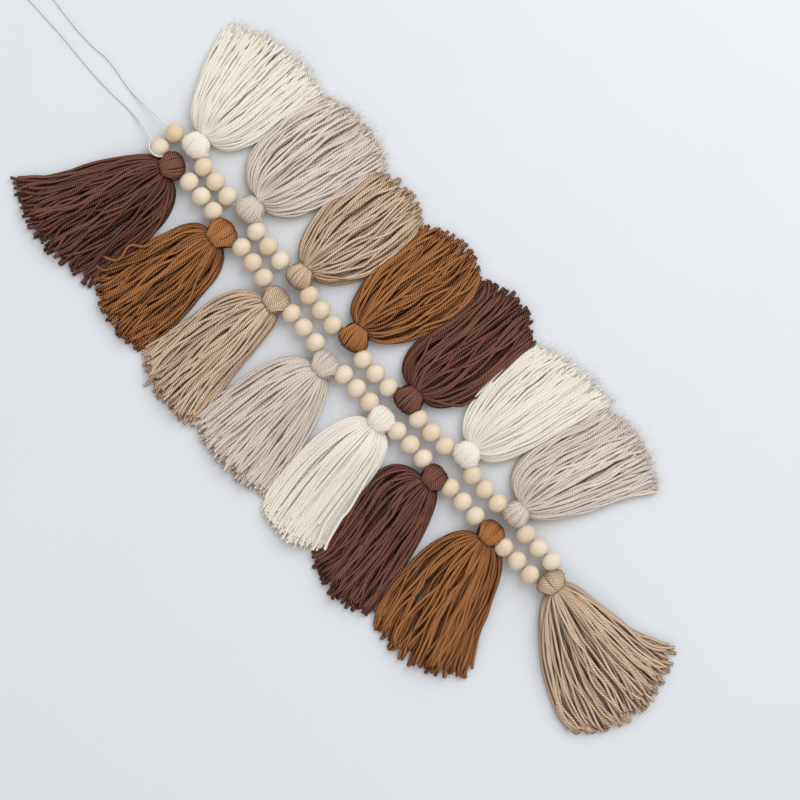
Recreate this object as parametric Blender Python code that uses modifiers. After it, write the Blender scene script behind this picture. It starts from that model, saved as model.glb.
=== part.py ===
"""Tassel garland lying flat: fifteen yarn tassels and forty-four wooden beads on one cotton string.

The string is folded in half, so two rows lie side by side and meet in one shared tassel, and its two
loose ends leave together at the top. Metres, +Z up, the surface at z = 0. The rows run along -Y. The
tassels of one row reach to +X and those of the other row to -X.
"""
import math
import random
from collections import namedtuple

import bmesh
import bpy
from mathutils import Vector

# Layout seen from above: places are counted in steps to the right and down, and the rows lean in that view
STEP = 0.0008
ROW_LEAN = math.radians(48.8)
LAYOUT_CENTRE = (382.8, 395.5)

# Wooden beads
BEAD_DIAMETER = 0.0160
BEAD_LENGTH = 0.0147
BEAD_GAP = 0.0004
BEAD_BORE = 0.0026
BEAD_SIDES = 10
BEAD_PROFILE_ANGLES = (45, 0, -45)
BEADS_BETWEEN = 3

# String, which lies at the beads' middle, the beads resting on a flat of their facets
STRING_DIAMETER = 0.0015
STRING_ROUNDING = 2
STRING_HEIGHT = BEAD_DIAMETER / 2 * math.cos(math.pi / BEAD_SIDES)
TAIL_POINTS = 15

# Tassel heads: balls of folded yarn, with the string through the fold
HEAD_LENGTH = {"right": 0.0280, "left": 0.0215, "end": 0.0184}
HEAD_WIDTH = {"right": 0.0185, "left": 0.0185, "end": 0.0240}
HEAD_HEIGHT = 0.0172
HEAD_BORE = 0.0034
HEAD_SEGMENTS = 8
HEAD_RINGS = 6
NECK_CUT = 0.72
BORE_ROUNDING = 0

# Skirts: locks of yarn in two layers, standing apart from their roots in the head
LOWER_LOCKS = 8
LOCK_STATIONS = (0.0, 0.09, 0.28, 0.6, 1.0)
LOCK_GAP_AT_BULGE = 0.022
LOCK_GAP_AT_END = 0.06
LOCK_LENGTH_SPREAD = 0.025
LOWER_RIDGE = 0.54
UPPER_KEEL = 0.14
UPPER_EDGES = 0.62
ROOT_DEPTH = 0.0010
ROOT_WIDTH = 4
SHOULDER_BACK = 1
HIP_BACK = 35
NECK_HEIGHT = 0.0085
BULGE_HEIGHT = 0.0185
END_HEIGHT = 0.0120
BULGE_STATION = 0.3
EDGE_FALL = 0.75

# One line for each tassel, in layout steps: its row and its number there. bore is where the string crosses the
# head, and neck where the skirt begins. near and far are the skirt's end corners, nearer to and farther from the
# string's loose ends. swell is how far each edge sweeps sideways as it leaves the neck, and hip the same ahead of
# its corner. bow is how far the skirt's cut end bulges past the line between its corners.
Tassel = namedtuple("Tassel", "name yarn bore neck near near_swell near_hip far far_swell far_hip bow")
TASSELS = (
    Tassel("right_1", "cream", (190, 150.5), (207, 134), (226, 26), 35, -3, (320, 95), 52, -16, 18),
    Tassel("right_2", "taupe", (243, 215), (261, 200), (330, 102), 57, 6, (382, 162), 48, -4, 15),
    Tassel("right_3", "tan", (295.5, 278.5), (309, 265), (376, 174), 34, 6, (418, 226), 47, 8, 14),
    Tassel("right_4", "rust", (347.5, 342.5), (363, 325), (429, 232), 41, 2, (476, 276), 47, 16, 12),
    Tassel("right_5", "brown", (404, 404), (416, 388), (485, 282), 54, -10, (527, 340), 54, 4, 14),
    Tassel("right_6", "cream", (458.5, 460), (474, 446), (538, 348), 43, 2, (602, 399), 45, -6, 12),
    Tassel("right_7", "taupe", (510.5, 517.5), (525, 505), (605, 408), 63, -8, (655, 490), 32, -11, 17),
    Tassel("left_1", "brown", (175.8, 165.8), (163, 170), (14, 180), 38, -25, (89, 281), 66, -16, 13),
    Tassel("left_2", "rust", (228.5, 229.5), (216, 239), (98, 272), 50, -18, (137, 347), 38, 0, 13),
    Tassel("left_3", "tan", (278, 297), (270, 302), (145, 356), 49, -5, (196, 425), 31, -28, 12),
    Tassel("left_4", "taupe", (329.6, 359.5), (319, 369), (198, 423), 48, -3, (263, 492), 30, -7, 12),
    Tassel("left_5", "cream", (384, 417), (374, 424), (263, 506), 41, 10, (322, 545), 46, -20, 13),
    Tassel("left_6", "brown", (436, 472), (428, 479), (317, 558), 66, -18, (368, 609), 28, -2, 13),
    Tassel("left_7", "rust", (488, 530.5), (482, 538), (376, 627), 48, 10, (470, 674), 46, -22, 16),
    Tassel("end", "tan", (550, 581), (555, 590), (573, 732), 35, 14, (673, 648), 31, -36, 24),
)

# Places of the string, in layout steps: the bead above each row, the loose tails, the turn in the last head
TOP_BEAD = {"right": (175.5, 134.8), "left": (161, 149.3)}
TAIL_ROUTE = {
    "right": (
        (168.6, 127.3), (151, 110), (130, 89), (110, 61), (90, 43), (70, 20), (55, 0), (36, -24), (19, -48)),
    "left": (
        (153.8, 142), (146, 129), (130, 110), (110, 91), (90, 69), (66, 40), (50, 22), (30, 0), (-9, -42)),
}
ROW_END = {"right": (565.3, 576.1), "left": (544, 589.5)}
TURN_ROUTE = ((537.3, 582.4), (543, 585.8), (550, 586), (557, 582.5), (561, 577), (559.8, 570.2))

YARN_COLOURS = {
    "cream": (0.80, 0.74, 0.64),
    "taupe": (0.58, 0.49, 0.43),
    "tan": (0.47, 0.34, 0.23),
    "rust": (0.30, 0.13, 0.05),
    "brown": (0.12, 0.055, 0.038),
}
YARN_ROUGHNESS = 0.95
WOOD_COLOUR = (0.76, 0.62, 0.43)
WOOD_ROUGHNESS = 0.6
STRING_COLOUR = (0.85, 0.84, 0.82)

HEAD_MIDDLE = HEAD_HEIGHT / 2
SMOOTH_BELOW = math.radians(50)
WELD = 0.00001


def row_of(tassel):
    return tassel.name.split("_")[0]


def on_table(place, height=0.0):
    """A layout place as a point of the object, with the rows running along -Y."""
    right = (place[0] - LAYOUT_CENTRE[0]) * STEP
    down = (place[1] - LAYOUT_CENTRE[1]) * STEP
    across = right * math.sin(ROW_LEAN) - down * math.cos(ROW_LEAN)
    along = right * math.cos(ROW_LEAN) + down * math.sin(ROW_LEAN)
    return Vector((across, -along, height))


def smooth_route(points, count):
    """Points read evenly from a smooth curve through the given ones."""
    ends = [points[0] * 2 - points[1], *points, points[-1] * 2 - points[-2]]
    route = []
    for number in range(count):
        place = number * (len(points) - 1) / (count - 1)
        first = min(int(place), len(points) - 2)
        t = place - first
        a, b, c, d = ends[first:first + 4]
        bend = (a * 2 - b * 5 + c * 4 - d) * t**2 + (b * 3 - a - c * 3 + d) * t**3
        route.append((b * 2 + (c - a) * t + bend) / 2)
    return route


def clear_scene():
    for item in list(bpy.data.objects):
        bpy.data.objects.remove(item, do_unlink=True)


def new_collection(name):
    collection = bpy.data.collections.new(name)
    bpy.context.scene.collection.children.link(collection)
    return collection


def plain_material(name, colour, roughness):
    material = bpy.data.materials.new(name)
    material.use_nodes = True
    shader = material.node_tree.nodes["Principled BSDF"]
    shader.inputs["Base Color"].default_value = (*colour, 1.0)
    shader.inputs["Roughness"].default_value = roughness
    material.diffuse_color = (*colour, 1.0)
    return material


def add_object(name, data, collection, material=None):
    item = bpy.data.objects.new(name, data)
    collection.objects.link(item)
    if material is not None and not data.materials:
        data.materials.append(material)
    return item


def mark_as_cutter(item):
    item.hide_render = True
    item.display_type = "WIRE"


def mesh_from(name, shape):
    mesh = bpy.data.meshes.new(name)
    bmesh.ops.recalc_face_normals(shape, faces=shape.faces)
    shape.to_mesh(mesh)
    shape.free()
    mesh.shade_smooth()
    mesh.set_sharp_from_angle(angle=SMOOTH_BELOW)
    return mesh


def bead_profile():
    """The bead's half section: down its round outer side and back up its bore."""
    radius = BEAD_DIAMETER / 2
    rim = math.degrees(math.acos(BEAD_BORE / 2 / radius))
    half_length = BEAD_LENGTH / 2 / math.sin(math.radians(rim))
    angles = (rim, *BEAD_PROFILE_ANGLES, -rim)
    turns = [math.radians(angle) for angle in angles]
    return [(radius * math.cos(turn), 0.0, half_length * math.sin(turn)) for turn in turns]


def make_bead_mesh(material):
    profile = bead_profile()
    edges = [(number, (number + 1) % len(profile)) for number in range(len(profile))]
    mesh = bpy.data.meshes.new("bead")
    mesh.from_pydata(profile, edges, [])
    mesh.materials.append(material)
    return mesh


def add_bead(name, mesh, place, direction, collection):
    bead = add_object(name, mesh, collection)
    bead.location = on_table(place, STRING_HEIGHT)
    bead.rotation_euler = (math.pi / 2, 0, math.atan2(direction.y, direction.x) + math.pi / 2)
    turned = bead.modifiers.new("turned", "SCREW")
    turned.steps = BEAD_SIDES
    turned.render_steps = BEAD_SIDES
    turned.use_merge_vertices = True
    turned.merge_threshold = WELD
    turned.use_smooth_shade = True
    return bead


def bead_places(start, end):
    """The beads between two bores: evenly spaced on the straight string, about its middle."""
    pitch = (BEAD_LENGTH + BEAD_GAP) / STEP
    first = Vector(start)
    run = Vector(end) - first
    middle = first + run / 2
    offsets = [number - (BEADS_BETWEEN - 1) / 2 for number in range(BEADS_BETWEEN)]
    return [tuple(middle + run.normalized() * pitch * offset) for offset in offsets]


def row_stations(row):
    """The bores and beads of one row, from the top bead to the shared tassel."""
    bores = [tassel.bore for tassel in TASSELS if row_of(tassel) == row]
    stations = [("bead", TOP_BEAD[row]), ("bore", bores[0])]
    for start, end in zip(bores, bores[1:] + [ROW_END[row]]):
        stations += [("bead", place) for place in bead_places(start, end)]
        if end != ROW_END[row]:
            stations.append(("bore", end))
    return stations


def skirt_plan(tassel):
    """The skirt seen from above: a function from a strand's side, -1 to 1, and the way along it, 0 to 1."""
    neck = on_table(tassel.neck)
    near = on_table(tassel.near)
    far = on_table(tassel.far)
    tip = (near + far) / 2
    axis = (tip - neck).normalized()
    root = neck - axis * ROOT_DEPTH
    length = (tip - root).length
    bow = axis * tassel.bow * STEP
    middle = (root, root + axis * length / 3, root + axis * length * 2 / 3, tip + bow)

    def edge(corner, swell, hip):
        side = corner - tip
        side = (side - axis * side.dot(axis)).normalized()
        return (
            root + side * ROOT_WIDTH * STEP,
            neck + (side * swell - axis * SHOULDER_BACK) * STEP,
            corner + (side * hip - axis * HIP_BACK) * STEP,
            corner,
        )

    near_edge = edge(near, tassel.near_swell, tassel.near_hip)
    far_edge = edge(far, tassel.far_swell, tassel.far_hip)

    def place(side, t):
        shares = ((1 - t)**3, 3 * (1 - t)**2 * t, 3 * (1 - t) * t**2, t**3)
        spot = Vector((0, 0, 0))
        for share, inner, outer in zip(shares, middle, near_edge if side >= 0 else far_edge):
            spot += share * inner.lerp(outer, abs(side))
        return spot + shares[3] * bow * (abs(side) - side**2)

    return place


def skirt_height(side, level, t):
    """Height of a strand over the surface: level 0 is the skirt's underside and 1 its top."""
    rise = math.sin(min(t / BULGE_STATION, 1) * math.pi / 2)
    fall = max(t - BULGE_STATION, 0) / (1 - BULGE_STATION)
    fall = fall**2 * (3 - 2 * fall)
    thick = NECK_HEIGHT + (BULGE_HEIGHT - NECK_HEIGHT) * rise + (END_HEIGHT - BULGE_HEIGHT) * fall
    under = (HEAD_MIDDLE - NECK_HEIGHT / 2) * (1 - math.sin(min(2 * t / BULGE_STATION, 1) * math.pi / 2))
    return under + level * thick * math.sqrt(1 - EDGE_FALL * side**2)


def lower_lock_section(middle, half):
    """A lock of the lower layer: flat on the surface, with a ridge on top."""
    return [(middle - half, 0.0), (middle + half, 0.0), (middle, LOWER_RIDGE)]


def upper_lock_section(middle, half):
    """A lock of the upper layer: a ridge above, and a keel between two lower locks."""
    return [(middle, UPPER_KEEL), (middle + half, UPPER_EDGES), (middle, 1.0), (middle - half, UPPER_EDGES)]


def add_lock(shape, place, section_of, middle, pitch, length):
    """One lock of the skirt, lofted along its own strands from its root in the head to its cut end."""
    rings = []
    for station in LOCK_STATIONS:
        t = min(station, length)
        gap = LOCK_GAP_AT_BULGE + (LOCK_GAP_AT_END - LOCK_GAP_AT_BULGE) * t**2
        ring = []
        for side, level in section_of(middle, (pitch - gap) / 2):
            spot = place(side, t)
            spot.z = skirt_height(side, level, t)
            ring.append(shape.verts.new(spot))
        rings.append(ring)
    for low, high in zip(rings, rings[1:]):
        for number in range(len(low)):
            after = (number + 1) % len(low)
            shape.faces.new((low[number], low[after], high[after], high[number]))
    shape.faces.new(rings[0])
    shape.faces.new(rings[-1])


def make_locks(tassel, origin):
    """All locks of one skirt about the tassel's origin, the upper ones over the gaps between the lower ones."""
    shape = bmesh.new()
    place = skirt_plan(tassel)
    chance = random.Random("tassel_" + tassel.name)
    pitch = 2 / LOWER_LOCKS
    for number in range(LOWER_LOCKS):
        length = 1 - chance.random() * LOCK_LENGTH_SPREAD
        add_lock(shape, place, lower_lock_section, -1 + pitch * (number + 0.5), pitch, length)
    for number in range(LOWER_LOCKS - 1):
        length = 1 - chance.random() * LOCK_LENGTH_SPREAD
        add_lock(shape, place, upper_lock_section, -1 + pitch * (number + 1), pitch, length)
    bmesh.ops.translate(shape, verts=shape.verts, vec=-origin)
    return mesh_from("tassel_" + tassel.name + "_locks", shape)


def make_head(tassel, beads):
    """The head: a ball of folded yarn, cut flat at the neck and clear of the beads beside it."""
    bore = on_table(tassel.bore)
    neck = on_table(tassel.neck)
    axis = (neck - bore).normalized()
    half_length = HEAD_LENGTH[row_of(tassel)] / 2
    middle = neck - axis * half_length * NECK_CUT
    room = min((on_table(bead) - middle).length for bead in beads) - BEAD_DIAMETER / 2 - BEAD_GAP
    half_width = min(HEAD_WIDTH[row_of(tassel)] / 2, room)
    across = Vector((-axis.y, axis.x, 0))
    shape = bmesh.new()
    bmesh.ops.create_uvsphere(shape, u_segments=HEAD_SEGMENTS, v_segments=HEAD_RINGS, radius=1)
    whole = shape.verts[:] + shape.edges[:] + shape.faces[:]
    bmesh.ops.bisect_plane(shape, geom=whole, plane_co=(0, 0, NECK_CUT), plane_no=(0, 0, 1), clear_outer=True)
    bmesh.ops.holes_fill(shape, edges=[edge for edge in shape.edges if edge.is_boundary])
    for vert in shape.verts:
        ball = vert.co.copy()
        vert.co = middle - bore + axis * ball.z * half_length + across * ball.x * half_width
        vert.co.z = HEAD_MIDDLE + ball.y * HEAD_HEIGHT / 2
    return mesh_from("tassel_" + tassel.name, shape)


def make_tube(name, points, diameter, rounding):
    curve = bpy.data.curves.new(name, "CURVE")
    curve.dimensions = "3D"
    curve.bevel_depth = diameter / 2
    curve.bevel_resolution = rounding
    curve.use_fill_caps = True
    spline = curve.splines.new("POLY")
    spline.points.add(len(points) - 1)
    for spot, point in zip(spline.points, points):
        spot.co = (*point, 1)
    return curve


def make_bore(name, points, origin, collection):
    """The way of the string through a head, as a closed mesh about the tassel's own origin."""
    way = make_tube(name, [point - origin for point in points], HEAD_BORE, BORE_ROUNDING)
    guide = add_object(name + "_guide", way, collection)
    evaluated = guide.evaluated_get(bpy.context.evaluated_depsgraph_get())
    mesh = bpy.data.meshes.new_from_object(evaluated)
    bpy.data.objects.remove(guide, do_unlink=True)
    shape = bmesh.new()
    shape.from_mesh(mesh)
    bmesh.ops.remove_doubles(shape, verts=shape.verts, dist=WELD)
    return mesh_from(name, shape)


def join_or_cut(item, other, operation):
    boolean = item.modifiers.new(operation.lower(), "BOOLEAN")
    boolean.operation = operation
    boolean.solver = "EXACT"
    boolean.use_self = True
    boolean.object = other


def add_tassel(tassel, beads, string_run, garland, cutters, material):
    """A tassel: its head with the locks joined on at the neck and the string's way cut out."""
    name = "tassel_" + tassel.name
    origin = on_table(tassel.bore)
    head = add_object(name, make_head(tassel, beads), garland, material)
    head.location = origin
    locks = add_object(name + "_locks", make_locks(tassel, origin), cutters)
    bore = add_object(name + "_bore", make_bore(name + "_bore", string_run, origin, cutters), cutters)
    for cutter, operation in ((locks, "UNION"), (bore, "DIFFERENCE")):
        cutter.location = origin
        mark_as_cutter(cutter)
        join_or_cut(head, cutter, operation)


def string_run_at(tassel, stations):
    """The string's points at one head, from the middle of one neighbouring bead to that of the other."""
    if row_of(tassel) == "end":
        places = (stations["left"][-1][1], *TURN_ROUTE, stations["right"][-1][1])
    else:
        line = [place for kind, place in stations[row_of(tassel)]]
        at = line.index(tassel.bore)
        places = line[at - 1:at + 2]
    return [on_table(place, STRING_HEIGHT) for place in places]


def string_points(stations):
    """The string from one loose end down one row, round the turn, and up the other row to its other end.

    It runs straight through the three beads between two heads, so it bends only in the heads.
    """
    rows = {}
    tails = {}
    for row in ("right", "left"):
        bends = [TOP_BEAD[row]] + [place for kind, place in stations[row] if kind == "bore"]
        rows[row] = [on_table(place, STRING_HEIGHT) for place in bends]
        tail = [on_table(place, STRING_DIAMETER / 2) for place in TAIL_ROUTE[row]]
        tail[0].z = STRING_HEIGHT
        tail[1].z = (STRING_HEIGHT + STRING_DIAMETER) / 2
        tails[row] = smooth_route(tail, TAIL_POINTS)
        for point in tails[row]:
            point.z = max(point.z, STRING_DIAMETER / 2)
    turn = [on_table(place, STRING_HEIGHT) for place in TURN_ROUTE]
    return tails["left"][::-1] + rows["left"] + turn + rows["right"][::-1] + tails["right"]


def build():
    clear_scene()
    garland = new_collection("tassel garland")
    cutters = new_collection("cutters")
    yarns = {}
    for name, colour in YARN_COLOURS.items():
        yarns[name] = plain_material(name + " yarn", colour, YARN_ROUGHNESS)
    wood = plain_material("natural wood", WOOD_COLOUR, WOOD_ROUGHNESS)
    cotton = plain_material("white cotton", STRING_COLOUR, YARN_ROUGHNESS)

    stations = {row: row_stations(row) for row in ("right", "left")}
    bead_mesh = make_bead_mesh(wood)
    beads = []
    for row, line in stations.items():
        number = 0
        for at, (kind, place) in enumerate(line):
            if kind == "bead":
                number += 1
                start = line[max(at - 1, 0)][1]
                end = line[min(at + 1, len(line) - 1)][1]
                direction = on_table(end) - on_table(start)
                add_bead(f"bead_{row}_{number:02d}", bead_mesh, place, direction, garland)
                beads.append(place)

    for tassel in TASSELS:
        add_tassel(tassel, beads, string_run_at(tassel, stations), garland, cutters, yarns[tassel.yarn])

    string = make_tube("string", string_points(stations), STRING_DIAMETER, STRING_ROUNDING)
    add_object("string", string, garland, cotton)


build()
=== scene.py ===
# %% [markdown]
# # A tassel garland of yarn and wooden beads
# The real garland is one white cotton string, folded in half. Beads and yarn tassels sit on both halves,
# and the fold runs through one last tassel. The imported model gives every piece's place and size. This
# lesson makes the yarn, the wood and the string that show.
#
# The imported model is loaded first, and the boxes of its pieces later give the beads' places.

# %% Load the imported model
import math
from collections import namedtuple

import bpy
import numpy as np
from mathutils import Matrix, Vector


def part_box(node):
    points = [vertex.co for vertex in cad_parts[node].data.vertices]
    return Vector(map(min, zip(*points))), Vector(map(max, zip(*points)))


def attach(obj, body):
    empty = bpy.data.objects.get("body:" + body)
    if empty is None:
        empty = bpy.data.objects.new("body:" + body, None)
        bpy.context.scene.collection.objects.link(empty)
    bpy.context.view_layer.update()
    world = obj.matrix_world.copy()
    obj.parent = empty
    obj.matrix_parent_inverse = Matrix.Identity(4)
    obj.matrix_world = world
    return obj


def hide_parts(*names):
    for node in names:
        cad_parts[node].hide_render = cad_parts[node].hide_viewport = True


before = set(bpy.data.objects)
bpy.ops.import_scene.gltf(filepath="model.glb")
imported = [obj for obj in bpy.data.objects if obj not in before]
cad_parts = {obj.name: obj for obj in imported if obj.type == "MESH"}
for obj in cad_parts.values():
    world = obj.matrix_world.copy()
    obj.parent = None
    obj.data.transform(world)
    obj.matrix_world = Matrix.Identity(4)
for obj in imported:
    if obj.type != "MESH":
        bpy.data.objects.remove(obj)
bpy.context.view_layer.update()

# %% [markdown]
# ## The layout
# Seen from straight above, the rows lean across the view. Places are counted in that view, in steps of
# 0.8 mm to the right and down from its top left corner. One function turns them into metres, with the
# rows along -Y. It takes whole arrays of places, because every strand of yarn goes through it.

# %% Places to metres
STEP = 0.0008
ROW_LEAN = math.radians(48.8)
LAYOUT_CENTRE = (382.8, 395.5)


def on_table(places, height=0.0):
    """Layout places, one or an array of them, as points in metres at that height over the surface."""
    steps = (np.asarray(places, float) - LAYOUT_CENTRE) * STEP
    right, down = steps[..., 0], steps[..., 1]
    across = right * math.sin(ROW_LEAN) - down * math.cos(ROW_LEAN)
    along = right * math.cos(ROW_LEAN) + down * math.sin(ROW_LEAN)
    return np.stack([across, -along, np.broadcast_to(height, across.shape)], axis=-1)


print("view centre", on_table((400, 400)).round(4))

# %% [markdown]
# ## Camera
# The garland is seen from straight above, so the camera looks down and is rolled until the rows lean as
# they should. A long lens from 1.5 m keeps the perspective as weak as it looks there. The view is 0.64 m
# wide.

# %% Camera from straight above
VIEW_STEPS = 800
VIEW_MIDDLE = (400, 400)
LENS = 85
SENSOR = 36


def new_object(name, data):
    """An object of a mesh, light or camera, linked to the scene."""
    thing = bpy.data.objects.new(name, data)
    bpy.context.scene.collection.objects.link(thing)
    return thing


camera_data = bpy.data.cameras.new("camera")
camera_data.lens = LENS
camera_data.sensor_width = SENSOR
camera = new_object("camera", camera_data)
view_right = Vector((math.sin(ROW_LEAN), -math.cos(ROW_LEAN), 0))
view_up = Vector((math.cos(ROW_LEAN), math.sin(ROW_LEAN), 0))
camera_height = VIEW_STEPS * STEP * LENS / SENSOR
camera.matrix_world = (
    Matrix.Translation(Vector(on_table(VIEW_MIDDLE, camera_height)))
    @ Matrix((view_right, view_up, view_right.cross(view_up))).transposed().to_4x4())
bpy.context.scene.camera = camera
print("camera height", round(camera_height, 3))

# %% [markdown]
# ## Small helpers
# Colours are written as sRGB hex values, as a colour picker gives them, and one function turns them to
# the linear values that shaders and lights take. Another adds one node, of geometry or of a material,
# with its settings and its links in one call. A Mix node holds a set of sockets for each kind of value:
# its colours go into the ones numbered 6 and 7, and come out of number 2.

# %% Colours and nodes


def linear(hex_colour):
    """An sRGB hex colour as linear red, green, blue and an alpha of 1."""
    channels = [int(hex_colour[at:at + 2], 16) / 255 for at in (1, 3, 5)]
    return (*[c / 12.92 if c <= 0.04045 else ((c + 0.055) / 1.055) ** 2.4 for c in channels], 1.0)


def add_node(tree, kind, inputs=None, **settings):
    """Adds one node. settings are its properties; inputs are socket values or links, by name or number."""
    node = tree.nodes.new(kind)
    for name, value in settings.items():
        setattr(node, name, value)
    for key, value in (inputs or {}).items():
        socket = node.inputs[key]
        if isinstance(value, bpy.types.NodeSocket):
            tree.links.new(value, socket)
        else:
            socket.default_value = value
    return node


def new_finish(name):
    """A new material, its node tree and its shader."""
    material = bpy.data.materials.new(name)
    material.use_nodes = True
    return material, material.node_tree, material.node_tree.nodes["Principled BSDF"]


print("white is", linear("#FFFFFF"))

# %% [markdown]
# ## Light and table
# The light is soft daylight from the upper right of the view. A big area light gives it, and a pale sky
# fills the shadows. The surface is a table top in matt, slightly blue paint: it shows no highlight, and
# its tone drifts faintly over about 11 cm, as rolled paint does. Colours are shown without a film look,
# so that a yarn's hex value and its render can be compared directly.

# %% Daylight and floor
DAYLIGHT = "#F8FBFF"
SKY = "#F3F2F0"
FLOOR_COLOUR = "#D5D8DD"
FLOOR_SHADE = "#D2D5DA"
FLOOR_REACH = 3.0
CLOUDS_PER_METRE = 9.0
SKY_STRENGTH = 0.92
WINDOW_PLACE = (1675, -1175)
WINDOW_HEIGHT = 1.65
WINDOW_SIZE = 1.8
WINDOW_POWER = 33

bpy.context.scene.view_settings.view_transform = "Standard"
world = bpy.data.worlds.new("sky")
world.use_nodes = True
world.node_tree.nodes["Background"].inputs["Color"].default_value = linear(SKY)
world.node_tree.nodes["Background"].inputs["Strength"].default_value = SKY_STRENGTH
bpy.context.scene.world = world


def add_area_light(name, place, height, aim, size, power):
    """A square light over a layout place, turned towards another."""
    data = bpy.data.lights.new(name, "AREA")
    data.size = size
    data.energy = power
    data.color = linear(DAYLIGHT)[:3]
    light = new_object(name, data)
    light.location = on_table(place, height)
    light.rotation_euler = Vector(on_table(aim) - on_table(place, height)).to_track_quat("-Z", "Y").to_euler()


add_area_light("window", WINDOW_PLACE, WINDOW_HEIGHT, VIEW_MIDDLE, WINDOW_SIZE, WINDOW_POWER)

floor_mesh = bpy.data.meshes.new("floor")
corners = [(x * FLOOR_REACH, y * FLOOR_REACH, 0) for x, y in ((-1, -1), (1, -1), (1, 1), (-1, 1))]
floor_mesh.from_pydata(corners, [], [(0, 1, 2, 3)])
floor = new_object("floor", floor_mesh)

floor_finish, floor_tree, floor_shader = new_finish("painted table top")
floor_shader.inputs["Roughness"].default_value = 0.7
floor_place = add_node(floor_tree, "ShaderNodeTexCoord")
paint_clouds = add_node(
    floor_tree, "ShaderNodeTexNoise", {"Vector": floor_place.outputs["Object"], "Scale": CLOUDS_PER_METRE})
floor_tint = add_node(
    floor_tree, "ShaderNodeMix",
    {0: paint_clouds.outputs["Fac"], 6: linear(FLOOR_COLOUR), 7: linear(FLOOR_SHADE)}, data_type="RGBA")
floor_tree.links.new(floor_tint.outputs[2], floor_shader.inputs["Base Color"])
floor_mesh.materials.append(floor_finish)
print("one light, one sky, one floor")

# %% [markdown]
# ## Growing yarn along guides
# Yarn, loose fibres and string are all the same kind of thing: a thin round strand that follows a path.
# So one tree of geometry nodes makes them all. It takes a mesh of bare edges, one chain for each strand,
# whose points hold the strand's radius and its own tone. It turns the chains into curves, sweeps a circle
# along them, and can press the grooves between twisted plies into the tube.
#
# The tube also keeps three facts for its material: how far along the strand a point is, which way round
# the strand it faces, and how much it faces up. The second is stored as a direction and not as an angle,
# because a direction has no seam. One wave worked out from the first two presses the grooves here and
# later paints them darker, as painted shade. The third makes a strand's flanks darker than its top, also
# as painted shade. The string alone has real grooves, a sixth of a millimetre deep. The yarn's are painted
# and bumped, because thousands of strands can't have faces that fine.

# %% The tree that sweeps a strand along each guide


def new_tree(name, inputs, output):
    """An empty geometry node tree with named inputs and one output, and the sockets that give the inputs."""
    tree = bpy.data.node_groups.new(name, "GeometryNodeTree")
    for socket, kind in inputs.items():
        tree.interface.new_socket(socket, in_out="INPUT", socket_type="NodeSocket" + kind)
    tree.interface.new_socket(output, in_out="OUTPUT", socket_type="NodeSocketGeometry")
    return tree, add_node(tree, "NodeGroupInput").outputs


def end_tree(tree, geometry, finish):
    """The end of every tree here: copies made real, the finish set and the result given out."""
    real = add_node(tree, "GeometryNodeRealizeInstances", {"Geometry": geometry})
    finished = add_node(
        tree, "GeometryNodeSetMaterial", {"Geometry": real.outputs["Geometry"], "Material": finish})
    add_node(tree, "NodeGroupOutput", {0: finished.outputs["Geometry"]})
    return tree


def ply_wave(tree, around, along, pitch, plies, start=0.0):
    """A wave round a twisted strand: 1 on top of each ply, and -1 in the groove between two."""
    parts = add_node(tree, "ShaderNodeSeparateXYZ", {0: around})
    angle = add_node(
        tree, "ShaderNodeMath", {0: parts.outputs["Y"], 1: parts.outputs["X"]}, operation="ARCTAN2")
    turns = add_node(tree, "ShaderNodeMath", {0: along, 1: pitch}, operation="DIVIDE")
    turned = add_node(
        tree, "ShaderNodeMath", {0: turns.outputs[0], 1: math.tau, 2: angle.outputs[0]},
        operation="MULTIPLY_ADD")
    started = add_node(tree, "ShaderNodeMath", {0: turned.outputs[0], 1: start}, operation="ADD")
    lobes = add_node(tree, "ShaderNodeMath", {0: started.outputs[0], 1: plies}, operation="MULTIPLY")
    return add_node(tree, "ShaderNodeMath", {0: lobes.outputs[0]}, operation="COSINE").outputs[0]


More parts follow.
